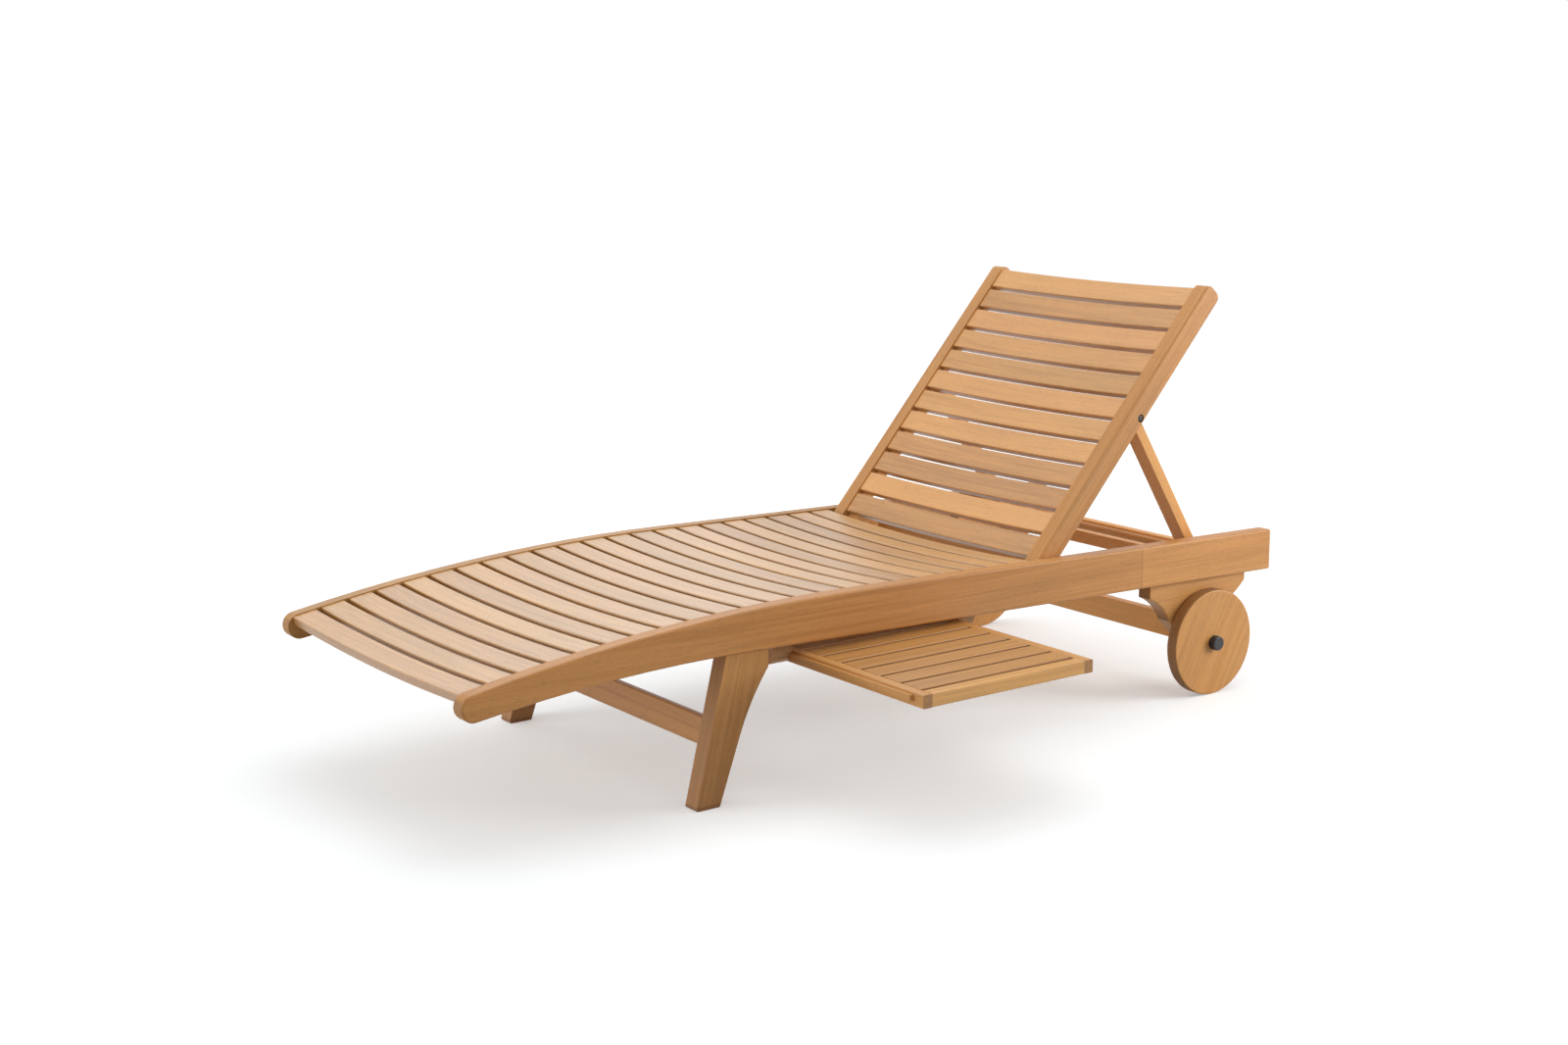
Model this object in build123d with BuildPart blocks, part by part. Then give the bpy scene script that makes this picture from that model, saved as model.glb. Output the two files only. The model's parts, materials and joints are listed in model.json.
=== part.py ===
from build123d import *
import os
from math import asin, atan2, cos, hypot, radians, sin, sqrt, tan

# A wooden sun lounger: X across, Y along (foot end at -Y), Z up, the origin on the floor under the middle.
# It is drawn with the back raised and the tray pulled out.

# Main sizes
frame_length = 1900
frame_width = 724
seat_height = 351
back_angle = 48.3
contact_gap = 0.5
running_gap = 0.05

# Side rails: the falls are in degrees, places along the frame are given from the nose or from the head end
rail_thickness = 30
rail_crest_from_nose = 735
rail_bend_radius = 4100
rail_top_fall = 1.35
rail_bottom_fall = 1.4
rail_head_depth = 85
rail_belly_from_nose = 560
rail_nose_radius = 24
rail_arris = 4

# Slats
seat_slat_count = 22
seat_slat_gap = 9.2
seat_slat_recess = 2
seat_front_inset = 10
seat_hinge_gap = 28
slat_thickness = 17.5
slat_dish = 10.5
slat_arris = 3
tenon_length = 12
tenon_thickness = 9
tenon_shoulder = 6

# Backrest
hinge_from_head = 615.1
stile_depth = 44
stile_thickness = 34
stile_length = 691
stile_end_radius = 14
stile_side_gap = 3
stile_rebate = 18
stile_rebate_lead = 20
back_slat_count = 12
back_slat_gap = 8.5
back_slat_recess = 2.5
back_foot_inset = 12
back_top_inset = 11
pivot_pin_diameter = 10
pivot_pin_reach = 14

# Prop
prop_pivot_along = 375.3
prop_pivot_behind = 11.5
prop_foot_from_head = 172.4
prop_foot_rise = 48
prop_thickness = 36
prop_depth = 21
prop_bar_diameter = 16
prop_eye_radius = 13
prop_side_gap = 2
prop_foot_step = 30
bolt_diameter = 8
bolt_head_diameter = 14
bolt_head_height = 6
bolt_head_gap = 1
nut_height = 5
nut_radius = 7

# Toothed strips and cross rails: the rises are above the bottom edge of the rails
strip_thickness = 20
strip_front_from_head = 300
strip_rear_from_head = 70
strip_step = 16
strip_rest_rise = 39.5
strip_tooth_rise = 38.6
strip_end_rise = 34.8
strip_notch_count = 3
strip_notch_pitch = 34
strip_notch_radius = 9
strip_notch_depth = 5
cross_rail_thickness = 22
cross_rail_height = 28
prop_rail_from_head = 147
head_rail_from_head = 42
seat_rail_from_hinge = 80
seat_rail_drop = 10
seat_rail_notch = 4

# Front legs: the shares are of the height of the rail's belly
leg_thickness = 37
leg_inset = 5
leg_lap_drop = 39
leg_foot_from_nose = 450.5
leg_foot_width = 49.5
leg_rake = 14
leg_flare_share = 0.45
leg_flare_out = 45
leg_ear_from_nose = 608
leg_ear_drop = 32
leg_arris = 3
stretcher_thickness = 22
stretcher_height = 50
stretcher_setback = 4
front_stretcher_share = 0.405

# Wheels and their brackets: the shares are of the height between a bracket's ear and the axle
wheel_radius = 110.5
wheel_thickness = 26
wheel_from_head = 178
wheel_edge = 3
wheel_boss_radius = 25
wheel_boss_height = 1.5
axle_diameter = 12
bracket_thickness = 32
bracket_lap = 16
bracket_lap_rise = 38
bracket_front_from_head = 338
bracket_rear_from_head = 60
bracket_ear_front_drop = 29
bracket_ear_rear_drop = 18
front_cove_width = 57
front_cove_share = 0.5
front_cove_heading = 22
rear_cove_width = 36
rear_cove_share = 0.26
rear_cove_heading = 48
bracket_boss_radius = 34
bracket_arris = 3
rear_stretcher_setback = 37
rear_stretcher_drop = 1.5
hub_cap_diameter = 30
hub_cap_length = 15

# Tray
tray_out = 340
tray_length = 470
tray_middle_from_nose = 872.5
tray_width = 386
tray_drop = 13.5
tray_thickness = 24
tray_batten_width = 20
tray_slat_count = 8
tray_slat_width = 47
tray_slat_thickness = 14
tray_front_rail_width = 26
tray_tongue_width = 8
tray_tongue_height = 10
tray_tongue_drop = 4
tray_arris = 2
runner_width = 42
runner_rise = 26
runner_gap = 1.5
runner_round = 24

# Values that follow from the sizes above
head_y = frame_length / 2
foot_y = -frame_length / 2
rail_outer_x = frame_width / 2
rail_inner_x = rail_outer_x - rail_thickness
stile_outer_x = rail_inner_x - stile_side_gap
stile_inner_x = stile_outer_x - stile_thickness
stile_half = stile_depth / 2
prop_outer_x = stile_inner_x + stile_rebate - prop_side_gap
prop_inner_x = prop_outer_x - prop_thickness
leg_outer_x = rail_outer_x - leg_inset
leg_inner_x = leg_outer_x - leg_thickness
bracket_inner_x = rail_inner_x - bracket_lap
bracket_outer_x = bracket_inner_x + bracket_thickness
strip_inner_x = bracket_inner_x - strip_thickness
wheel_inner_x = bracket_outer_x + contact_gap + wheel_boss_height
wheel_outer_x = wheel_inner_x + wheel_thickness
dish_radius = (rail_inner_x**2 + slat_dish**2) / (2 * slat_dish)
hinge_y = head_y - hinge_from_head
prop_foot_y = head_y - prop_foot_from_head
wheel_y = head_y - wheel_from_head
tray_middle_y = foot_y + tray_middle_from_nose

os.makedirs("parts", exist_ok=True)


def write_piece(piece, name):
    piece.part.label = name
    export_step(piece.part, f"parts/{name}.step")


def mirrored(piece):
    with BuildPart() as twin:
        mirror(piece.part, about=Plane.YZ)
    return twin


def tangent_point(point, centre, radius, side):
    """Where a line from a point touches a circle, on the side +1 (left of the line) or -1."""
    away_y = centre[0] - point[0]
    away_z = centre[1] - point[1]
    reach = sqrt(away_y**2 + away_z**2 - radius**2)
    heading = atan2(away_z, away_y) + side * asin(radius / hypot(away_y, away_z))
    return (point[0] + reach * cos(heading), point[1] + reach * sin(heading))


# Side rails: from the crest the top edge bends down to a round nose and falls gently to the head end
top_fall = radians(rail_top_fall)
bottom_fall = radians(rail_bottom_fall)
crest_y = foot_y + rail_crest_from_nose
bend_centre_z = seat_height - rail_bend_radius
fall_y = crest_y + rail_bend_radius * sin(top_fall)
fall_z = bend_centre_z + rail_bend_radius * cos(top_fall)


def rail_top(along_y):
    """The height of the rail's straight top edge, from the bend to the head end."""
    return fall_z - (along_y - fall_y) * tan(top_fall)


def rail_bottom(along_y):
    """The height of the rail's straight bottom edge, from the belly to the head end."""
    return rail_top(head_y) - rail_head_depth + (head_y - along_y) * tan(bottom_fall)


nose_y = foot_y + rail_nose_radius
nose_turn = asin((crest_y - nose_y) / (rail_bend_radius - rail_nose_radius))
nose_z = bend_centre_z + (rail_bend_radius - rail_nose_radius) * cos(nose_turn)
nose_top = (nose_y - rail_nose_radius * sin(nose_turn), nose_z + rail_nose_radius * cos(nose_turn))
belly_y = foot_y + rail_belly_from_nose
belly_z = rail_bottom(belly_y)
belly_run = nose_y - belly_y
belly_drop = nose_z - belly_z
belly_lift = belly_run * sin(bottom_fall) + belly_drop * cos(bottom_fall)
belly_radius = (belly_run**2 + belly_drop**2 - rail_nose_radius**2) / (2 * (rail_nose_radius - belly_lift))
belly_centre_y = belly_y - belly_radius * sin(bottom_fall)
belly_centre_z = belly_z - belly_radius * cos(bottom_fall)
belly_part = belly_radius / (belly_radius + rail_nose_radius)
nose_bottom = (
    belly_centre_y + (nose_y - belly_centre_y) * belly_part,
    belly_centre_z + (nose_z - belly_centre_z) * belly_part,
)
hinge_z = rail_top(hinge_y) - stile_half


def seat_plane(along):
    """The plane of a seat slat's middle section: local x across, local y up, at a distance from the crest."""
    turn = min(along / rail_bend_radius, top_fall)
    straight = along - rail_bend_radius * turn
    reach = rail_bend_radius - seat_slat_recess
    place_y = crest_y + reach * sin(turn) + straight * cos(turn)
    place_z = bend_centre_z + reach * cos(turn) - straight * sin(turn)
    return Plane(origin=(0, place_y, place_z), x_dir=(1, 0, 0), z_dir=(0, -cos(turn), sin(turn)))


seat_front = -rail_bend_radius * asin((crest_y - foot_y - seat_front_inset) / rail_bend_radius)
seat_rear = rail_bend_radius * top_fall + (hinge_y - seat_hinge_gap - fall_y) / cos(top_fall)
seat_pitch = (seat_rear - seat_front + seat_slat_gap) / seat_slat_count
seat_slat_width = seat_pitch - seat_slat_gap
first_seat_slat = seat_front + seat_slat_width / 2
seat_planes = [seat_plane(first_seat_slat + seat_pitch * step) for step in range(seat_slat_count)]


def cut_mortises(planes, span, width):
    """Sockets for the slats' stub tenons, cut outward from the inner face of a rail or stile."""
    for plane in planes:
        with BuildSketch(plane) as socket:
            with Locations((span + (tenon_length + contact_gap) / 2, -slat_thickness / 2)):
                Rectangle(tenon_length + contact_gap, tenon_thickness)
        extrude(socket.sketch, amount=width / 2 - tenon_shoulder, both=True, mode=Mode.SUBTRACT)


with BuildPart() as left_rail:
    with BuildSketch(Plane.YZ.offset(rail_inner_x)):
        with BuildLine():
            Line((head_y, rail_top(head_y)), (fall_y, fall_z))
            sweep_down = TangentArc((fall_y, fall_z), nose_top, tangent=(-cos(top_fall), sin(top_fall)))
            nose = TangentArc(nose_top, nose_bottom, tangent=sweep_down % 1)
            TangentArc(nose_bottom, (belly_y, belly_z), tangent=nose % 1)
            Polyline((belly_y, belly_z), (head_y, rail_bottom(head_y)), (head_y, rail_top(head_y)))
        make_face()
    extrude(amount=rail_thickness)
    head_corners = left_rail.edges().filter_by(Axis.X).group_by(Axis.Y)[-1]
    fillet(head_corners, rail_arris)
    fillet(left_rail.faces().sort_by(Axis.X)[-1].edges(), rail_arris)
    cut_mortises(seat_planes, rail_inner_x, seat_slat_width)
    with BuildSketch(Plane.YZ.offset(rail_inner_x)):
        with Locations((hinge_y, hinge_z)):
            Circle(pivot_pin_diameter / 2)
    extrude(amount=pivot_pin_reach, mode=Mode.SUBTRACT)
write_piece(left_rail, "left_rail")
right_rail = mirrored(left_rail)
write_piece(right_rail, "right_rail")


# Slats: dished across, with rounded long edges and a stub tenon at each end
def dished_slat(plane, span, width):
    dish = dish_radius - sqrt(dish_radius**2 - span**2)
    with BuildPart() as slat:
        with BuildSketch(plane):
            with BuildLine():
                ThreePointArc((-span, 0), (0, -dish), (span, 0))
                Line((span, 0), (span, -slat_thickness))
                ThreePointArc((span, -slat_thickness), (0, -slat_thickness - dish), (-span, -slat_thickness))
                Line((-span, -slat_thickness), (-span, 0))
            make_face()
        extrude(amount=width / 2, both=True)
        fillet(slat.edges().filter_by(GeomType.CIRCLE), slat_arris)
        with BuildSketch(plane):
            for side in (-1, 1):
                with Locations((side * (span + tenon_length / 2), -slat_thickness / 2)):
                    Rectangle(tenon_length, tenon_thickness)
        extrude(amount=width / 2 - tenon_shoulder, both=True)
    return slat


for number, plane in enumerate(seat_planes, start=1):
    write_piece(dished_slat(plane, rail_inner_x, seat_slat_width), f"seat_slat_{number:02d}")

# Backrest: local x runs up the stile from the hinge, local y out of its front face
lean = radians(back_angle)
up_back = (0, cos(lean), sin(lean))


def back_plane(across):
    return Plane(origin=(across, hinge_y, hinge_z), x_dir=up_back, z_dir=(1, 0, 0))


def back_slat_plane(along):
    front = stile_depth / 2 - back_slat_recess
    place_y = hinge_y + along * cos(lean) - front * sin(lean)
    place_z = hinge_z + along * sin(lean) + front * cos(lean)
    return Plane(origin=(0, place_y, place_z), x_dir=(1, 0, 0), z_dir=(0, -cos(lean), -sin(lean)))


back_length = stile_length - back_foot_inset - back_top_inset
back_pitch = (back_length + back_slat_gap) / back_slat_count
back_slat_width = back_pitch - back_slat_gap
first_back_slat = back_foot_inset + back_slat_width / 2
back_slat_planes = [back_slat_plane(first_back_slat + back_pitch * step) for step in range(back_slat_count)]

with BuildPart() as left_stile:
    with BuildSketch(back_plane(stile_inner_x)) as stile_outline:
        Circle(stile_half)
        with Locations((stile_length / 2, 0)):
            Rectangle(stile_length, stile_depth)
        fillet(stile_outline.vertices().group_by(Axis.X)[-1], stile_end_radius)
    extrude(amount=stile_thickness)
    fillet(left_stile.faces().sort_by(Axis.X)[-1].edges(), slat_arris)
    cut_mortises(back_slat_planes, stile_inner_x, back_slat_width)
    rebate_start = prop_pivot_along - stile_rebate_lead
    rebate_length = stile_length - rebate_start
    with BuildSketch(back_plane(stile_inner_x)):
        with Locations((rebate_start + rebate_length / 2, -stile_half / 2)):
            Rectangle(rebate_length, stile_half)
    extrude(amount=stile_rebate, mode=Mode.SUBTRACT)
    with BuildSketch(back_plane(stile_outer_x)):
        Circle(pivot_pin_diameter / 2 + running_gap)
    extrude(amount=contact_gap - stile_thickness + tenon_length, mode=Mode.SUBTRACT)
    with BuildSketch(back_plane(stile_inner_x)):
        with Locations((prop_pivot_along, -prop_pivot_behind)):
            Circle(bolt_diameter / 2)
    extrude(amount=stile_thickness, mode=Mode.SUBTRACT)
    with BuildSketch(back_plane(stile_outer_x)):
        with Locations((prop_pivot_along, -prop_pivot_behind)):
            Circle(bolt_head_diameter / 2 + bolt_head_gap)
    extrude(amount=-bolt_head_height - contact_gap, mode=Mode.SUBTRACT)
write_piece(left_stile, "left_stile")
right_stile = mirrored(left_stile)
write_piece(right_stile, "right_stile")

for number, plane in enumerate(back_slat_planes, start=1):
    write_piece(dished_slat(plane, stile_inner_x, back_slat_width), f"back_slat_{number:02d}")

with BuildPart() as backrest_pivot_pins:
    with BuildSketch(back_plane(rail_inner_x + pivot_pin_reach)):
        Circle(pivot_pin_diameter / 2)
    extrude(amount=tenon_length - stile_thickness - stile_side_gap - pivot_pin_reach + 2 * contact_gap)
    mirror(about=Plane.YZ)
write_piece(backrest_pivot_pins, "backrest_pivot_pins")

# Prop: two legs that hang in the stiles' rebates, stepped at the foot and joined there by a round bar
pivot_y = hinge_y + prop_pivot_along * cos(lean) + prop_pivot_behind * sin(lean)
pivot_z = hinge_z + prop_pivot_along * sin(lean) - prop_pivot_behind * cos(lean)
prop_foot_z = rail_bottom(prop_foot_y) + prop_foot_rise
prop_run = prop_foot_y - pivot_y
prop_drop = prop_foot_z - pivot_z
prop_reach = hypot(prop_run, prop_drop)


def prop_plane(across):
    return Plane(origin=(across, pivot_y, pivot_z), x_dir=(0, prop_run, prop_drop), z_dir=(1, 0, 0))


with BuildPart() as left_prop_leg:
    with BuildSketch(prop_plane(prop_inner_x)):
        Circle(prop_depth / 2)
        with Locations((prop_reach / 2, 0)):
            Rectangle(prop_reach, prop_depth)
        with Locations((prop_reach, 0)):
            Circle(prop_eye_radius)
            Circle(prop_bar_diameter / 2, mode=Mode.SUBTRACT)
        Circle(bolt_diameter / 2 + running_gap, mode=Mode.SUBTRACT)
    extrude(amount=prop_thickness)
    with BuildSketch(prop_plane(strip_inner_x - prop_side_gap)):
        with Locations((prop_reach, 0)):
            Rectangle(2 * prop_foot_step, 2 * prop_eye_radius)
    extrude(amount=prop_thickness, mode=Mode.SUBTRACT)
write_piece(left_prop_leg, "left_prop_leg")
right_prop_leg = mirrored(left_prop_leg)
write_piece(right_prop_leg, "right_prop_leg")

with BuildPart() as prop_foot_bar:
    bar_half_length = bracket_inner_x - prop_side_gap - contact_gap
    with BuildSketch(Plane.YZ):
        with Locations((prop_foot_y, prop_foot_z)):
            Circle(prop_bar_diameter / 2)
    extrude(amount=bar_half_length, both=True)
    fillet(prop_foot_bar.edges().filter_by(GeomType.CIRCLE), slat_arris)
write_piece(prop_foot_bar, "prop_foot_bar")

with BuildPart() as prop_bolts:
    head_floor_x = stile_outer_x - bolt_head_height - contact_gap
    with BuildSketch(prop_plane(head_floor_x)):
        Circle(bolt_head_diameter / 2)
    extrude(amount=bolt_head_height)
    fillet(prop_bolts.edges().filter_by(GeomType.CIRCLE).sort_by(Axis.X)[-1], slat_arris)
    with BuildSketch(prop_plane(head_floor_x)):
        Circle(bolt_diameter / 2)
    extrude(amount=prop_inner_x - head_floor_x - nut_height - contact_gap)
    with BuildSketch(prop_plane(prop_inner_x - contact_gap)):
        RegularPolygon(nut_radius, 6)
    extrude(amount=-nut_height)
    mirror(about=Plane.YZ)
write_piece(prop_bolts, "prop_bolts")

# Toothed strips on the brackets: a high rest for the flat back, then a falling edge with round notches
strip_front_y = head_y - strip_front_from_head
strip_step_y = prop_foot_y - strip_step
strip_rear_y = head_y - strip_rear_from_head
tooth_z = rail_bottom(prop_foot_y) + strip_tooth_rise
strip_end_z = rail_bottom(strip_rear_y) + strip_end_rise
tooth_slope = (tooth_z - strip_end_z) / (strip_rear_y - prop_foot_y)
notch_lift = strip_notch_radius - strip_notch_depth

with BuildPart() as ratchet_strips:
    with BuildSketch(Plane.YZ.offset(strip_inner_x)):
        with BuildLine():
            Polyline(
                (strip_front_y, rail_bottom(strip_front_y)),
                (strip_front_y, rail_bottom(strip_front_y) + strip_rest_rise),
                (strip_step_y, rail_bottom(strip_step_y) + strip_rest_rise),
                (strip_step_y, tooth_z),
                (prop_foot_y, tooth_z),
                (strip_rear_y, strip_end_z),
                (strip_rear_y, rail_bottom(strip_rear_y)),
                (strip_front_y, rail_bottom(strip_front_y)),
            )
        make_face()
        for notch in range(strip_notch_count):
            step = notch * strip_notch_pitch
            with Locations((prop_foot_y + step, tooth_z - step * tooth_slope + notch_lift)):
                Circle(strip_notch_radius, mode=Mode.SUBTRACT)
    extrude(amount=strip_thickness)
    mirror(about=Plane.YZ)
write_piece(ratchet_strips, "ratchet_strips")


def cross_rail(front_y, half_length, top_z):
    """A straight rail across the frame, from the bottom edge of the side rails up to a height."""
    foot_z = rail_bottom(front_y)
    with BuildPart() as rail:
        with BuildSketch(Plane.XY.offset(foot_z)):
            with Locations((0, front_y + cross_rail_thickness / 2)):
                Rectangle(2 * half_length, cross_rail_thickness)
        extrude(amount=top_z - foot_z)
        fillet(rail.edges().filter_by(Axis.X), slat_arris)
    return rail


prop_rail_y = head_y - prop_rail_from_head
prop_rail_top = rail_bottom(prop_rail_y) + cross_rail_height
write_piece(cross_rail(prop_rail_y, strip_inner_x, prop_rail_top), "prop_cross_rail")

head_rail_y = head_y - head_rail_from_head
head_rail_top = rail_bottom(head_rail_y) + cross_rail_height
write_piece(cross_rail(head_rail_y, rail_inner_x, head_rail_top), "head_cross_rail")

# The cross rail behind the seat is notched at its ends, so that the flat back's stiles lie over it
seat_rail_y = hinge_y + seat_rail_from_hinge
seat_rail_foot = rail_bottom(seat_rail_y)
seat_rail_top = hinge_z - seat_rail_drop
seat_rail_low = hinge_z - stile_half - seat_rail_notch
seat_rail_shoulder = stile_inner_x - seat_rail_notch

with BuildPart() as seat_cross_rail:
    with BuildSketch(Plane.XZ.offset(-seat_rail_y)):
        with Locations((0, (seat_rail_foot + seat_rail_low) / 2)):
            Rectangle(2 * rail_inner_x, seat_rail_low - seat_rail_foot)
        with Locations((0, (seat_rail_foot + seat_rail_top) / 2)):
            Rectangle(2 * seat_rail_shoulder, seat_rail_top - seat_rail_foot)
    extrude(amount=-cross_rail_thickness)
write_piece(seat_cross_rail, "seat_cross_rail")

# Front legs: splayed forward, flared under the rail, with a tongue lapped on the rail's inner face
leg_slope = tan(radians(leg_rake))
leg_foot_y = foot_y + leg_foot_from_nose
leg_ear_y = foot_y + leg_ear_from_nose
leg_ear = (leg_ear_y, rail_bottom(leg_ear_y) - leg_ear_drop)
leg_lap_top = seat_height - leg_lap_drop
leg_heel = (leg_foot_y + leg_foot_width, 0)
leg_flare = (leg_heel[0] + leg_flare_out, leg_flare_share * belly_z)

with BuildPart() as left_leg:
    with BuildSketch(Plane.YZ.offset(leg_inner_x)):
        with BuildLine():
            Polyline(
                (leg_ear_y, leg_lap_top),
                (leg_foot_y + leg_lap_top * leg_slope, leg_lap_top),
                (leg_foot_y, 0),
                leg_heel,
                leg_flare,
            )
            TangentArc(leg_flare, leg_ear, tangent=(leg_flare_out, leg_flare[1]))
            Line(leg_ear, (leg_ear_y, leg_lap_top))
        make_face()
    extrude(amount=leg_thickness)
    fillet(left_leg.edges().filter_by(Axis.X).group_by(Axis.Z)[0], leg_arris)
    fillet(left_leg.edges().filter_by(Axis.X).sort_by(Axis.Y)[-1], leg_arris)
    add(left_rail.part, mode=Mode.SUBTRACT)
write_piece(left_leg, "left_leg")
right_leg = mirrored(left_leg)
write_piece(right_leg, "right_leg")

with BuildPart() as front_stretcher:
    rake_up = (0, sin(radians(leg_rake)), cos(radians(leg_rake)))
    front_stretcher_z = front_stretcher_share * belly_z
    stretcher_foot = (-leg_inner_x, leg_foot_y + front_stretcher_z * leg_slope, front_stretcher_z)
    with BuildSketch(Plane(origin=stretcher_foot, x_dir=rake_up, z_dir=(1, 0, 0))):
        with Locations((stretcher_height / 2, -stretcher_setback - stretcher_thickness / 2)):
            Rectangle(stretcher_height, stretcher_thickness)
    extrude(amount=2 * leg_inner_x)
    fillet(front_stretcher.edges().filter_by(Axis.X), leg_arris)
write_piece(front_stretcher, "front_stretcher")

# Wheel brackets: coved on both sides down to a round boss for the axle, with a cheek inside the rail
boss = (wheel_y, wheel_radius)
bracket_front_y = head_y - bracket_front_from_head
bracket_rear_y = head_y - bracket_rear_from_head
front_ear = (bracket_front_y, rail_bottom(bracket_front_y) - bracket_ear_front_drop)
rear_ear = (bracket_rear_y, rail_bottom(bracket_rear_y) - bracket_ear_rear_drop)
front_cove_z = front_ear[1] - front_cove_share * (front_ear[1] - wheel_radius)
rear_cove_z = rear_ear[1] - rear_cove_share * (rear_ear[1] - wheel_radius)
front_cove = (bracket_front_y + front_cove_width, front_cove_z)
rear_cove = (bracket_rear_y - rear_cove_width, rear_cove_z)
front_heading = (cos(radians(front_cove_heading)), -sin(radians(front_cove_heading)))
rear_heading = (-cos(radians(rear_cove_heading)), -sin(radians(rear_cove_heading)))
boss_front = tangent_point(front_cove, boss, bracket_boss_radius, -1)
boss_rear = tangent_point(rear_cove, boss, bracket_boss_radius, 1)
bracket_front_top = (bracket_front_y, rail_bottom(bracket_front_y))
bracket_rear_top = (bracket_rear_y, rail_bottom(bracket_rear_y))

with BuildPart() as left_bracket:
    with BuildSketch(Plane.YZ.offset(bracket_inner_x)):
        with BuildLine():
            Line(bracket_front_top, front_ear)
            TangentArc(front_ear, front_cove, tangent=front_heading)
            Line(front_cove, boss_front)
            ThreePointArc(boss_front, (wheel_y, wheel_radius - bracket_boss_radius), boss_rear)
            Line(boss_rear, rear_cove)
            TangentArc(rear_ear, rear_cove, tangent=rear_heading)
            Polyline(rear_ear, bracket_rear_top, bracket_front_top)
        make_face()
        with Locations(boss):
            Circle(axle_diameter / 2, mode=Mode.SUBTRACT)
    extrude(amount=bracket_thickness)
    outer_edges = left_bracket.faces().sort_by(Axis.X)[-1].outer_wire().edges()
    fillet(outer_edges.sort_by(Axis.Z)[:-1], bracket_arris)
    with BuildSketch(Plane.YZ.offset(bracket_inner_x)):
        with BuildLine():
            Polyline(
                bracket_front_top,
                bracket_rear_top,
                (bracket_rear_y, bracket_rear_top[1] + bracket_lap_rise),
                (bracket_front_y, bracket_front_top[1] + bracket_lap_rise),
                bracket_front_top,
            )
        make_face()
    extrude(amount=bracket_lap)
write_piece(left_bracket, "left_bracket")
right_bracket = mirrored(left_bracket)
write_piece(right_bracket, "right_bracket")

with BuildPart() as rear_stretcher:
    with BuildSketch(Plane.XY.offset(wheel_radius - rear_stretcher_drop)):
        with Locations((0, wheel_y - rear_stretcher_setback + stretcher_thickness / 2)):
            Rectangle(2 * bracket_inner_x, stretcher_thickness)
    extrude(amount=stretcher_height)
    fillet(rear_stretcher.edges().filter_by(Axis.X), leg_arris)
write_piece(rear_stretcher, "rear_stretcher")

# Wheels: solid discs with a low boss against the bracket, on one axle with a cap at each end
cap_inner_x = wheel_outer_x + contact_gap
axle_end_x = cap_inner_x + hub_cap_length / 2

with BuildPart() as axle:
    with BuildSketch(Plane.YZ):
        with Locations(boss):
            Circle(axle_diameter / 2)
    extrude(amount=axle_end_x, both=True)
write_piece(axle, "axle")

with BuildPart() as left_wheel:
    with BuildSketch(Plane.YZ.offset(wheel_inner_x)):
        with Locations(boss):
            Circle(wheel_radius)
    extrude(amount=wheel_thickness)
    fillet(left_wheel.edges().filter_by(GeomType.CIRCLE), wheel_edge)
    with BuildSketch(Plane.YZ.offset(wheel_inner_x)):
        with Locations(boss):
            Circle(wheel_boss_radius)
    extrude(amount=-wheel_boss_height)
    with BuildSketch(Plane.YZ.offset(wheel_outer_x)):
        with Locations(boss):
            Circle(axle_diameter / 2 + running_gap)
    extrude(amount=-wheel_thickness - wheel_boss_height, mode=Mode.SUBTRACT)
write_piece(left_wheel, "left_wheel")
right_wheel = mirrored(left_wheel)
write_piece(right_wheel, "right_wheel")

with BuildPart() as hub_caps:
    with BuildSketch(Plane.YZ.offset(cap_inner_x)):
        with Locations(boss):
            Circle(hub_cap_diameter / 2)
    extrude(amount=hub_cap_length)
    fillet(hub_caps.edges().filter_by(GeomType.CIRCLE).sort_by(Axis.X)[-1], wheel_edge)
    add(axle.part, mode=Mode.SUBTRACT)
    mirror(about=Plane.YZ)
write_piece(hub_caps, "hub_caps")

# Tray: two battens with a tongue, and a front rail and slats between them
tray_front_x = rail_outer_x + tray_out
tray_top_z = rail_bottom(tray_middle_y) - tray_drop
tray_bottom_z = tray_top_z - tray_thickness
tray_half_width = tray_width / 2
tongue_top_z = tray_top_z - tray_tongue_drop
tray_across = Plane.XZ.offset(-tray_middle_y)

with BuildPart() as tray_battens:
    batten_middle_x = tray_front_x - tray_length / 2
    batten_reach = tray_half_width - tray_batten_width / 2
    with BuildSketch(Plane.XY.offset(tray_bottom_z)):
        for side in (-1, 1):
            with Locations((batten_middle_x, tray_middle_y + side * batten_reach)):
                Rectangle(tray_length, tray_batten_width)
    extrude(amount=tray_thickness)
    fillet(tray_battens.edges().filter_by(Axis.X), tray_arris)
    tongue_middle_x = batten_middle_x - tray_front_rail_width / 2
    tongue_reach = tray_half_width + tray_tongue_width / 2
    with BuildSketch(Plane.XY.offset(tongue_top_z)):
        for side in (-1, 1):
            with Locations((tongue_middle_x, tray_middle_y + side * tongue_reach)):
                Rectangle(tray_length - tray_front_rail_width, tray_tongue_width)
    extrude(amount=-tray_tongue_height)
write_piece(tray_battens, "tray_battens")

slat_half_length = tray_half_width - tray_batten_width
tray_pitch = (tray_length - tray_front_rail_width) / tray_slat_count
tray_slat_gap = tray_pitch - tray_slat_width
first_tray_slat = tray_front_x - tray_front_rail_width - tray_slat_gap - tray_slat_width / 2

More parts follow.
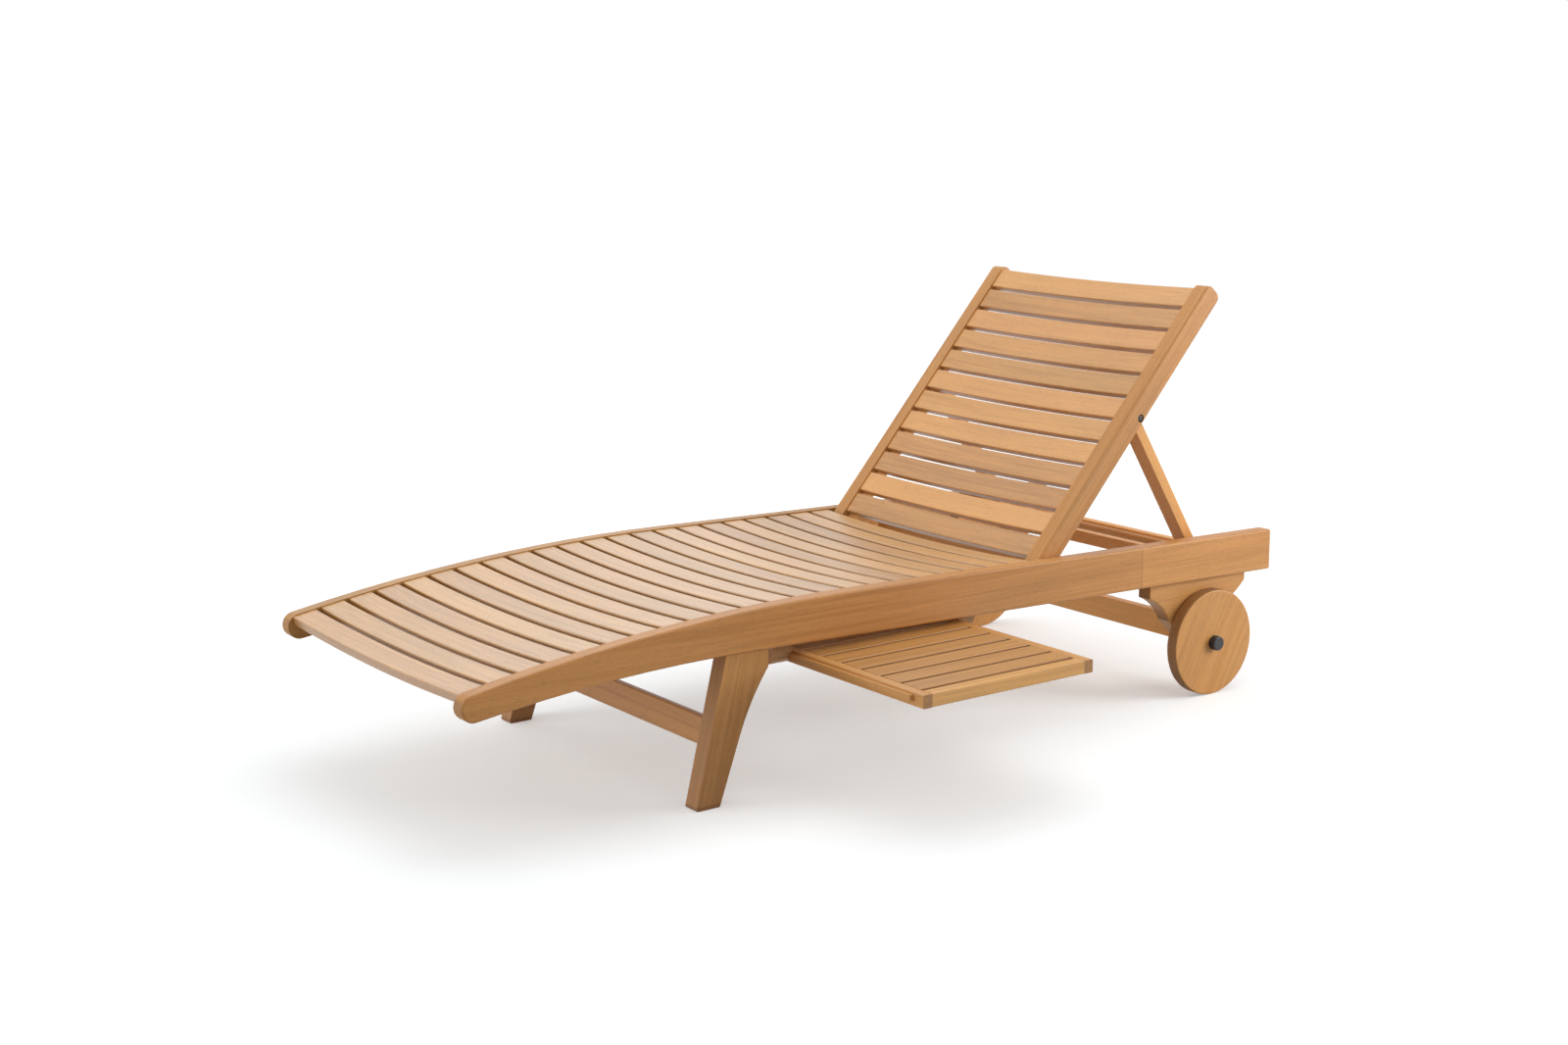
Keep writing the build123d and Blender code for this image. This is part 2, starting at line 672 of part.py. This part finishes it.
with BuildPart() as tray_slats:
    with BuildSketch(tray_across):
        with Locations((tray_front_x - tray_front_rail_width / 2, tray_top_z - tray_thickness / 2)):
            Rectangle(tray_front_rail_width, tray_thickness)
        for step in range(tray_slat_count):
            with Locations((first_tray_slat - step * tray_pitch, tray_top_z - tray_slat_thickness / 2)):
                Rectangle(tray_slat_width, tray_slat_thickness)
    extrude(amount=slat_half_length, both=True)
    fillet(tray_slats.edges().filter_by(Axis.Y), tray_arris)
write_piece(tray_slats, "tray_slats")

# Runners under the seat: two cross battens with a groove for the tray's tongue
runner_inner = tray_half_width + runner_gap
runner_reach = runner_inner + runner_width / 2
runner_top_z = rail_bottom(tray_middle_y) + runner_rise
groove_width = tray_tongue_width - runner_gap + contact_gap
groove_reach = runner_inner + groove_width / 2

with BuildPart() as tray_runners:
    with BuildSketch(Plane.YZ):
        for side in (-1, 1):
            with Locations((tray_middle_y + side * runner_reach, (runner_top_z + tray_bottom_z) / 2)):
                Rectangle(runner_width, runner_top_z - tray_bottom_z)
    extrude(amount=rail_inner_x, both=True)
    lower_edges = tray_runners.edges().filter_by(Axis.Y).group_by(Axis.Z)[0]
    fillet(lower_edges, runner_round)
    with BuildSketch(Plane.YZ):
        for side in (-1, 1):
            with Locations((tray_middle_y + side * groove_reach, tongue_top_z - tray_tongue_height / 2)):
                Rectangle(groove_width, tray_tongue_height + 2 * contact_gap)
    extrude(amount=rail_inner_x, both=True, mode=Mode.SUBTRACT)
write_piece(tray_runners, "tray_runners")
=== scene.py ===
import json
import random
from collections import namedtuple
from math import cos, radians, sin
import bpy
from mathutils import Matrix, Vector


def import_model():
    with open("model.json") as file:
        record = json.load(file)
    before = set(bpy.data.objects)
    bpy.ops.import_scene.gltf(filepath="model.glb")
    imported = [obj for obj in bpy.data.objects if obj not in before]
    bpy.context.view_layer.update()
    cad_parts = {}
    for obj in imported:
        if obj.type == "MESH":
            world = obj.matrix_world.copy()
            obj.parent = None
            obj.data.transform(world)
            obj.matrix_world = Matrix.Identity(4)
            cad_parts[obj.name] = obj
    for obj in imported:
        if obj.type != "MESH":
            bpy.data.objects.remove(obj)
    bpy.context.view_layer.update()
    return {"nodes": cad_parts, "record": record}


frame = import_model()
nodes = frame["nodes"]
scene = bpy.context.scene
scene.view_settings.view_transform = "Standard"

# Camera at the photograph's place: metres, degrees, and millimetres for lens and sensor
camera_place = Vector((3.4101, -2.4929, 1.2540))
camera_azimuth = 54.38
camera_elevation = 11.43
camera_roll = -0.48
camera_lens = 50.02
camera_sensor = 36.0

# Tilt in degrees, in the side view, of grain that runs along the lounger; other grain runs across it
back_angle = 48.3
prop_angle = -58.2
leg_angle = 76.0
wheel_grain_angle = 62.0
grain_tilts = {
    "left_rail": 0.0,
    "right_rail": 0.0,
    "left_bracket": 0.0,
    "right_bracket": 0.0,
    "ratchet_strips": 0.0,
    "tray_slats": 0.0,
    "left_stile": back_angle,
    "right_stile": back_angle,
    "left_prop_leg": prop_angle,
    "right_prop_leg": prop_angle,
    "left_leg": leg_angle,
    "right_leg": leg_angle,
    "left_wheel": wheel_grain_angle,
    "right_wheel": wheel_grain_angle,
}

# Wood tones, as linear colours
honey_light = (0.720, 0.353, 0.114, 1)
honey_middle = (0.645, 0.300, 0.090, 1)
honey_dark = (0.550, 0.243, 0.066, 1)
tan_grey = (0.440, 0.255, 0.110, 1)
# pore_brown also draws the glue joint's line, and the painted shade on the slats' edges and at the
# legs' lower edges
pore_brown = (0.200, 0.080, 0.030, 1)
end_grain_brown = (0.275, 0.142, 0.060, 1)
# tread_brown is also the painted shade on the legs' feet
tread_brown = (0.190, 0.095, 0.042, 1)

# Noise layers: scale along and across the grain, octaves, roughness and distortion
Layer = namedtuple("Layer", "along across detail roughness distortion", defaults=(0.0,))
figure_layer = Layer(1.4, 55.0, 3.0, 0.55, 0.8)
band_layer = Layer(2.6, 140.0, 3.0, 0.55, 0.5)
streak_layer = Layer(7.0, 430.0, 4.0, 0.65)
pore_layer = Layer(60.0, 1100.0, 1.0, 0.5)
cloud_layer = Layer(3.0, 5.0, 2.0, 0.5)
patch_layer = Layer(2.4, 14.0, 2.0, 0.5)
ring_layer = Layer(30.0, 240.0, 3.0, 0.6, 0.5)
brush_layer = Layer(900.0, 120.0, 3.0, 0.6)
plastic_layer = Layer(900.0, 900.0, 2.0, 0.5)
floor_layer = Layer(3.0, 3.0, 2.0, 0.5)
noise_middle = 0.5

# Parts of each layer's range that the wood's marks fade in over
light_range = (0.15, 0.85)
band_range = (0.35, 0.75)
pore_range = (0.60, 0.74)
patch_range = (0.50, 0.78)
ring_range = (0.40, 0.85)
end_range = (0.70, 0.92)

# How strong the wood's marks are
tone_in_figure = 0.22
tone_in_value = 0.16
yellow_in_hue = 0.012
hue_kept = 0.5
patch_amount = 0.24
streak_contrast = 0.50
band_contrast = 0.45
cloud_contrast = 0.24
cloud_darkest = 0.88
pore_amount = 0.42
end_amount = 0.80

# Surface of the wood: roughness by its marks, relief in metres, and gloss
plain_roughness = 0.30
streak_roughness = 0.22
pore_roughness = 0.12
end_roughness = 0.2
streak_relief = 0.6
relief_strength = 0.25
relief_depth = 0.0005
wood_specular = 0.32
sheen_roughness = 0.3

# Finish of pieces by how their names start: tone, its spread, yellowness, sheen, strength of the grain
Finish = namedtuple("Finish", "tone spread yellow sheen grain")
finishes = (
    (("seat_slat",), Finish(-0.55, 0.55, 0.8, 0.75, 1.2)),
    (("back_slat",), Finish(-0.05, 0.8, 0.2, 0.65, 0.8)),
    (("tray_battens",), Finish(0.2, 0.2, 0.5, 0.25, 1.0)),
    (("tray_slats", "tray_runners"), Finish(-0.5, 0.3, 0.5, 0.25, 1.0)),
    # The far rail's darker tone is painted shade on its top face
    (("right_rail",), Finish(-1.3, 0.15, 0.5, 0.03, 0.7)),
    (("left_rail", "left_stile", "right_stile"), Finish(-0.5, 0.15, 0.1, 0.03, 0.7)),
    # The legs' darker tone is painted shade
    (("left_leg", "right_leg"), Finish(-0.6, 0.15, 0.0, 0.03, 0.6)),
    (("left_bracket", "right_bracket"), Finish(-0.4, 0.2, 0.0, 0.05, 0.8)),
    # The rear stretcher's higher tone and yellowness are painted light, where it sits in shade under
    # the seat
    (("rear_stretcher",), Finish(2.0, 0.15, 0.8, 0.35, 0.8)),
    (("left_prop_leg", "right_prop_leg"), Finish(1.0, 0.15, 0.1, 0.05, 0.8)),
    (("head_cross_rail", "prop_cross_rail", "seat_cross_rail", "ratchet_strips"),
     Finish(1.2, 0.15, 0.2, 0.05, 0.8)),
)
plain_finish = Finish(0.0, 0.2, 0.0, 0.05, 0.8)

# Random draws for each piece: the seed, how far the grain shifts, and how far the hue strays
draw_seed = 1362
grain_shift = 5
yellow_spread = 0.2

# Glue joint in the near rail, in metres along the lounger
rail_joint = 0.574
joint_half = 0.0005
joint_line = (0.0006, 0.0020)
joint_amount = 0.40
board_before = (0.96, 0.95, 0.93, 1)
board_past = (1.06, 1.06, 1.06, 1)

# Darker treads of the wheels, by how far a face turns away from the wheel's side
tread_range = (0.45, 0.95)
tread_amount = 0.55

# Painted shade on the long edges of the slats, in the gaps, by how far a face turns towards the next
# slat
edge_range = (0.75, 0.98)
slat_edge_amount = 0.5
tray_edge_amount = 0.65
along_the_seat = (0, 1, 0)
up_the_back = (0, cos(radians(back_angle)), sin(radians(back_angle)))
out_of_the_side = (1, 0, 0)

# Front rail of the tray, painted paler and whiter as a painted sheen: the gap behind it and a step
# within it, in metres across
tray_gap = (0.672, 0.674)
tray_front_step = (0.689, 0.691)
tray_front_sheen = (1.34, 1.44, 1.58, 1)

# Painted shade on the legs' feet, darker towards the floor, in metres above the floor
foot_range = (0.0, 0.17)
foot_amount = 0.35
foot_edge_range = (0.005, 0.010)
foot_edge_amount = 0.6

# Steel and hub plastic
steel_dark = (0.034, 0.030, 0.026, 1)
steel_light = (0.070, 0.064, 0.058, 1)
steel_roughness = 0.34
plastic_dark = (0.010, 0.010, 0.011, 1)
plastic_light = (0.026, 0.026, 0.028, 1)
plastic_roughness = 0.38
roughness_spread = 0.2
plastic_relief_strength = 0.3
plastic_relief_depth = 0.0003

# Floor: its half size, its tints, and the glow that whitens it away from the lounger, in metres
floor_half = 30.0
floor_dark = (0.80, 0.83, 0.845, 1)
floor_light = (0.82, 0.85, 0.865, 1)
floor_bounce = (0.5, 0.5, 0.5, 1)
floor_glow_range = (1.0, 4.0)
floor_glow_near = 0.34
floor_glow_far = 0.70

# Light: the world's level on the lounger, and softboxes in metres and watts
white = (1, 1, 1, 1)
sky_light = 0.38
Lamp = namedtuple("Lamp", "name place target width height power")
lamps = (
    Lamp("top_light", (-0.2, 0.3, 3.2), (0, 0, 0.3), 3.2, 3.2, 40),
    Lamp("head_light", (2.6, 3.2, 1.5), (0, 0.5, 0.4), 2.0, 1.8, 98),
    Lamp("foot_light", (-1.4, -3.8, 1.1), (0, 0, 0.4), 2.4, 1.8, 66),
    Lamp("far_light", (-3.0, 0.4, 1.8), (0, -0.1, 0.3), 3.2, 2.4, 13),
)


def set_camera():
    yaw, rise, roll = radians(camera_azimuth), radians(camera_elevation), radians(camera_roll)
    back = Vector((sin(yaw) * cos(rise), -cos(yaw) * cos(rise), sin(rise)))
    right = Vector((cos(yaw), sin(yaw), 0))
    up = back.cross(right)
    tilted_right = right * cos(roll) + up * sin(roll)
    tilted_up = up * cos(roll) - right * sin(roll)
    turn = Matrix((tilted_right, tilted_up, back)).transposed().to_4x4()
    data = bpy.data.cameras.new("camera")
    data.sensor_fit = "HORIZONTAL"
    data.sensor_width = camera_sensor
    data.lens = camera_lens
    camera = bpy.data.objects.new("camera", data)
    camera.matrix_world = Matrix.Translation(camera_place) @ turn
    scene.collection.objects.link(camera)
    scene.camera = camera


class Graph:
    """A short way to add and join nodes in one node tree."""

    def __init__(self, tree):
        self.tree = tree
        tree.nodes.clear()

    def add(self, kind, settings=None, **inputs):
        node = self.tree.nodes.new(kind)
        for key, value in (settings or {}).items():
            setattr(node, key, value)
        for key, value in inputs.items():
            self.feed(node.inputs[key.replace("_", " ")], value)
        return node

    def feed(self, socket, value):
        if isinstance(value, bpy.types.NodeSocket):
            self.tree.links.new(value, socket)
        else:
            socket.default_value = value

    def math(self, operation, *values):
        node = self.add("ShaderNodeMath", {"operation": operation})
        for socket, value in zip(node.inputs, values):
            self.feed(socket, value)
        return node.outputs[0]

    def scaled(self, value, factor, base):
        return self.math("ADD", self.math("MULTIPLY", value, factor), base)

    def mix(self, amount, first, second, blend="MIX"):
        settings = {"data_type": "RGBA", "blend_type": blend, "clamp_factor": True}
        node = self.add("ShaderNodeMix", settings)
        self.feed(node.inputs[0], amount)
        self.feed(node.inputs[6], first)
        self.feed(node.inputs[7], second)
        return node.outputs[2]

    def tinted(self, colour, tint):
        return self.mix(1.0, colour, tint, "MULTIPLY")

    def rising(self, value, span):
        """0 below the span, 1 above it, and a smooth step within it."""
        node = self.add("ShaderNodeMapRange", {"interpolation_type": "SMOOTHSTEP"})
        for socket, number in zip(node.inputs[:5], (value, *span, 0.0, 1.0)):
            self.feed(socket, number)
        return node.outputs[0]

    def falling(self, value, span):
        return self.math("SUBTRACT", 1.0, self.rising(value, span))

    def axis(self, vector, number):
        return self.add("ShaderNodeSeparateXYZ", Vector=vector).outputs[number]

    def noise(self, vector, layer):
        stretch = (layer.along, layer.across, layer.across)
        mapped = self.add("ShaderNodeMapping", Vector=vector, Scale=stretch)
        texture = self.add("ShaderNodeTexNoise", Vector=mapped.outputs[0], Scale=1.0)
        texture.inputs["Detail"].default_value = layer.detail
        texture.inputs["Roughness"].default_value = layer.roughness
        texture.inputs["Distortion"].default_value = layer.distortion
        return texture.outputs["Fac"]


def wood_group():
    """Straight-grained hardwood with figure, streaks, pores and end grain. The grain is along X."""
    tree = bpy.data.node_groups.new("wood_grain", "ShaderNodeTree")
    face = tree.interface
    face.new_socket("Vector", in_out="INPUT", socket_type="NodeSocketVector")
    face.new_socket("Normal", in_out="INPUT", socket_type="NodeSocketVector")
    face.new_socket("Tone", in_out="INPUT", socket_type="NodeSocketFloat")
    face.new_socket("Yellow", in_out="INPUT", socket_type="NodeSocketFloat")
    face.new_socket("Grain", in_out="INPUT", socket_type="NodeSocketFloat")
    face.new_socket("Color", in_out="OUTPUT", socket_type="NodeSocketColor")
    face.new_socket("Roughness", in_out="OUTPUT", socket_type="NodeSocketFloat")
    face.new_socket("Height", in_out="OUTPUT", socket_type="NodeSocketFloat")
    g = Graph(tree)
    inputs = g.add("NodeGroupInput").outputs
    along = inputs["Vector"]

    figure = g.noise(along, figure_layer)
    bands = g.noise(along, band_layer)
    streaks = g.noise(along, streak_layer)
    clouds = g.noise(along, cloud_layer)
    pores = g.rising(g.noise(along, pore_layer), pore_range)
    patches = g.rising(g.noise(along, patch_layer), patch_range)

    light_part = g.rising(g.scaled(inputs["Tone"], tone_in_figure, figure), light_range)
    colour = g.mix(light_part, honey_dark, honey_light)
    colour = g.mix(g.rising(bands, band_range), colour, honey_middle)
    colour = g.mix(g.math("MULTIPLY", patches, patch_amount), colour, tan_grey)

    band_part = g.math("MULTIPLY", g.math("SUBTRACT", bands, noise_middle), band_contrast)
    contrast = g.scaled(g.math("SUBTRACT", streaks, noise_middle), streak_contrast, band_part)
    fine = g.scaled(contrast, inputs["Grain"], 1.0)
    fine = g.math("MULTIPLY", fine, g.scaled(clouds, cloud_contrast, cloud_darkest))
    grey = g.add("ShaderNodeCombineColor", Red=fine, Green=fine, Blue=fine)
    colour = g.tinted(colour, grey.outputs[0])
    colour = g.mix(g.math("MULTIPLY", pores, pore_amount), colour, pore_brown)

    toned = g.add("ShaderNodeHueSaturation", Color=colour)
    g.feed(toned.inputs["Hue"], g.scaled(inputs["Yellow"], yellow_in_hue, hue_kept))
    g.feed(toned.inputs["Value"], g.scaled(inputs["Tone"], tone_in_value, 1.0))

    ends = g.rising(g.math("ABSOLUTE", g.axis(inputs["Normal"], 0)), end_range)
    rings = g.rising(g.noise(along, ring_layer), ring_range)
    end_colour = g.mix(rings, end_grain_brown, honey_dark)
    final = g.mix(g.math("MULTIPLY", ends, end_amount), toned.outputs[0], end_colour)

    rough = g.scaled(ends, end_roughness, plain_roughness)
    rough = g.scaled(pores, pore_roughness, rough)
    rough = g.scaled(streaks, streak_roughness, rough)
    height = g.math("SUBTRACT", g.math("MULTIPLY", streaks, streak_relief), pores)
    out = g.add("NodeGroupOutput")
    for name, value in (("Color", final), ("Roughness", rough), ("Height", height)):
        g.feed(out.inputs[name], value)
    return tree


def new_material(name):
    material = bpy.data.materials.new(name)
    material.use_nodes = True
    return material, Graph(material.node_tree)


def close_material(g, shader):
    g.add("ShaderNodeOutputMaterial", Surface=shader.outputs[0])


def glue_joint(g, where, colour):
    """A butt joint across the near rail: a thin dark line, with a slightly paler board past it."""
    along = g.axis(where, 1)
    past = g.rising(along, (rail_joint - joint_half, rail_joint + joint_half))
    colour = g.tinted(colour, g.mix(past, board_before, board_past))
    away = g.math("ABSOLUTE", g.math("SUBTRACT", along, rail_joint))
    line = g.falling(away, joint_line)
    return g.mix(g.math("MULTIPLY", line, joint_amount), colour, pore_brown)


def darker_tread(g, normal, colour):
    """The tread of a wheel, darker than the wheel's sides."""
    tread = g.falling(g.math("ABSOLUTE", g.axis(normal, 0)), tread_range)
    return g.mix(g.math("MULTIPLY", tread, tread_amount), colour, tread_brown)


def shaded_foot(g, where, colour):
    """The foot of a leg with painted shade, darker towards the floor and darkest at its lower edge."""
    height = g.axis(where, 2)
    low = g.falling(height, foot_range)
    colour = g.mix(g.math("MULTIPLY", low, foot_amount), colour, tread_brown)
    edge = g.falling(height, foot_edge_range)
    return g.mix(g.math("MULTIPLY", edge, foot_edge_amount), colour, pore_brown)


def shaded_edges(g, normal, across, colour, amount):
    """Painted shade on the long edges of a slat, darker than its faces. It shows as dark lines in the
    gaps.
    """
    dot = g.add("ShaderNodeVectorMath", {"operation": "DOT_PRODUCT"})
    g.feed(dot.inputs[0], normal)
    g.feed(dot.inputs[1], across)
    edge = g.rising(g.math("ABSOLUTE", dot.outputs["Value"]), edge_range)
    return g.mix(g.math("MULTIPLY", edge, amount), colour, pore_brown)


def tray_boards(g, where, normal, colour):
    """The tray's slats with painted shade on their side edges, and its front rail, painted paler and
    whiter as a painted sheen.
    """
    across = g.axis(where, 0)
    amount = g.math("MULTIPLY", g.falling(across, tray_front_step), tray_edge_amount)
    colour = shaded_edges(g, normal, out_of_the_side, colour, amount)
    # Painted sheen: the front rail is tinted paler and whiter
    return g.mix(g.rising(across, tray_gap), colour, g.tinted(colour, tray_front_sheen))


def front_ends_only(g, where, normal):
    """The normal, blanked behind the tray's front, so that the tongues' ends show no end grain."""
    front = g.add("ShaderNodeVectorMath", {"operation": "SCALE"})
    g.feed(front.inputs[0], normal)
    g.feed(front.inputs["Scale"], g.rising(g.axis(where, 0), tray_front_step))
    return front.outputs[0]


def marked(g, piece, where, normal, colour):
    """The colour with the marks that only some pieces have, painted shade and a painted sheen among
    them.
    """
    if piece == "left_rail":
        return glue_joint(g, where, colour)
    if piece in ("left_wheel", "right_wheel"):
        return darker_tread(g, normal, colour)
    if piece in ("left_leg", "right_leg"):
        return shaded_foot(g, where, colour)
    if piece.startswith("seat_slat"):
        return shaded_edges(g, normal, along_the_seat, colour, slat_edge_amount)
    if piece.startswith("back_slat"):
        return shaded_edges(g, normal, up_the_back, colour, slat_edge_amount)
    if piece == "tray_slats":
        return tray_boards(g, where, normal, colour)
    return colour


def finish_of(piece):
    for starts, finish in finishes:
        if piece.startswith(starts):
            return finish
    return plain_finish


def wood(piece, place, tone, yellow):
    """Wood for one piece. Place shifts its grain; tone and yellow, from -1 to 1, are its own."""
    finish = finish_of(piece)
    material, g = new_material(f"wood_{piece}")
    coordinates = g.add("ShaderNodeTexCoord").outputs
    where, normal = coordinates["Object"], coordinates["Normal"]
    as_normal = {"vector_type": "NORMAL"}
    lie = (radians(-grain_tilts.get(piece, 0.0)), 0.0, 0.0)
    quarter = (0.0, 0.0, radians(-90) if piece in grain_tilts else 0.0)
    flat = g.add("ShaderNodeMapping", Vector=where, Rotation=lie).outputs[0]
    facing = g.add("ShaderNodeMapping", as_normal, Vector=normal, Rotation=lie).outputs[0]
    aligned = g.add("ShaderNodeMapping", Vector=flat, Rotation=quarter, Location=place).outputs[0]
    ends = g.add("ShaderNodeMapping", as_normal, Vector=facing, Rotation=quarter).outputs[0]
    if piece == "tray_battens":
        ends = front_ends_only(g, where, ends)

    grain = g.add("ShaderNodeGroup", {"node_tree": bpy.data.node_groups["wood_grain"]})
    g.feed(grain.inputs["Vector"], aligned)
    g.feed(grain.inputs["Normal"], ends)
    grain.inputs["Tone"].default_value = finish.tone + tone * finish.spread
    grain.inputs["Yellow"].default_value = finish.yellow + yellow * yellow_spread
    grain.inputs["Grain"].default_value = finish.grain

    relief = g.add("ShaderNodeBump", Strength=relief_strength, Distance=relief_depth)
    g.feed(relief.inputs["Height"], grain.outputs["Height"])
    colour = marked(g, piece, where, normal, grain.outputs["Color"])
    shader = g.add("ShaderNodeBsdfPrincipled", Base_Color=colour, Normal=relief.outputs[0])
    g.feed(shader.inputs["Roughness"], grain.outputs["Roughness"])
    shader.inputs["Specular IOR Level"].default_value = wood_specular
    shader.inputs["Coat Weight"].default_value = finish.sheen
    shader.inputs["Coat Roughness"].default_value = sheen_roughness
    close_material(g, shader)
    return material


def steel():
    material, g = new_material("steel")
    brush = g.noise(g.add("ShaderNodeTexCoord").outputs["Object"], brush_layer)
    tint = g.mix(brush, steel_dark, steel_light)
    shader = g.add("ShaderNodeBsdfPrincipled", Base_Color=tint, Metallic=1.0)
    g.feed(shader.inputs["Roughness"], g.scaled(brush, roughness_spread, steel_roughness))
    close_material(g, shader)
    return material


def black_plastic():
    material, g = new_material("hub_plastic")
    texture = g.noise(g.add("ShaderNodeTexCoord").outputs["Object"], plastic_layer)
    tint = g.mix(texture, plastic_dark, plastic_light)
    relief = g.add("ShaderNodeBump", Strength=plastic_relief_strength, Height=texture)
    relief.inputs["Distance"].default_value = plastic_relief_depth
    shader = g.add("ShaderNodeBsdfPrincipled", Base_Color=tint, Normal=relief.outputs[0])
    g.feed(shader.inputs["Roughness"], g.scaled(texture, roughness_spread, plastic_roughness))
    close_material(g, shader)
    return material


def dress():
    draw = random.Random(draw_seed)
    metal = steel()
    plastic = black_plastic()
    slots = {entry["node"]: entry["material_slot"] for entry in frame["record"]["subparts"]}
    wood_group()
    for name in sorted(nodes):
        tone = draw.uniform(-1.0, 1.0)
        yellow = draw.uniform(-1.0, 1.0)
        place = tuple(draw.uniform(-grain_shift, grain_shift) for axis in range(3))
        if slots[name] == "steel":
            material = metal
        elif slots[name] == "hub_plastic":
            material = plastic
        else:
            material = wood(name, place, tone, yellow)
        for slot in nodes[name].material_slots:
            slot.material = material


def floor():
    """A matte floor that keeps the shadow and glows to white away from the lounger."""
    near, far = -floor_half, floor_half
    corners = [(near, near, 0), (far, near, 0), (far, far, 0), (near, far, 0)]
    mesh = bpy.data.meshes.new("floor")
    mesh.from_pydata(corners, [], [(0, 1, 2, 3)])
    ground = bpy.data.objects.new("floor", mesh)
    scene.collection.objects.link(ground)

    material, g = new_material("floor")
    where = g.add("ShaderNodeTexCoord").outputs["Object"]
    path = g.add("ShaderNodeLightPath").outputs
    seen = g.math("MAXIMUM", path["Is Camera Ray"], path["Is Glossy Ray"])
    tint = g.mix(g.noise(where, floor_layer), floor_dark, floor_light)
    matte = g.add("ShaderNodeBsdfDiffuse", Color=g.mix(seen, floor_bounce, tint))
    reach = g.add("ShaderNodeVectorMath", {"operation": "LENGTH"})
    g.feed(reach.inputs[0], where)
    away = g.rising(reach.outputs["Value"], floor_glow_range)
    level = g.scaled(away, floor_glow_far - floor_glow_near, floor_glow_near)
    glow = g.add("ShaderNodeEmission", Color=white, Strength=g.math("MULTIPLY", seen, level))
    both = g.add("ShaderNodeAddShader")
    g.feed(both.inputs[0], matte.outputs[0])
    g.feed(both.inputs[1], glow.outputs[0])
    close_material(g, both)
    mesh.materials.append(material)


def world():
    """White where it is seen or mirrored, and dimmer as a light on the lounger."""
    background = bpy.data.worlds.new("world")
    scene.world = background
    background.use_nodes = True
    g = Graph(background.node_tree)
    path = g.add("ShaderNodeLightPath").outputs
    seen = g.math("MAXIMUM", path["Is Camera Ray"], path["Is Glossy Ray"])
    seen = g.math("MAXIMUM", seen, path["Is Transmission Ray"])
    strength = g.scaled(seen, 1.0 - sky_light, sky_light)
    light = g.add("ShaderNodeBackground", Color=white, Strength=strength)
    g.add("ShaderNodeOutputWorld", Surface=light.outputs[0])


def softbox(lamp):
    data = bpy.data.lights.new(lamp.name, "AREA")
    data.shape = "RECTANGLE"
    data.size = lamp.width
    data.size_y = lamp.height
    data.energy = lamp.power
    light = bpy.data.objects.new(lamp.name, data)
    light.location = lamp.place
    aim = Vector(lamp.target) - Vector(lamp.place)
    light.rotation_euler = aim.to_track_quat("-Z", "Y").to_euler()
    scene.collection.objects.link(light)


set_camera()
dress()
floor()
world()
for lamp in lamps:
    softbox(lamp)
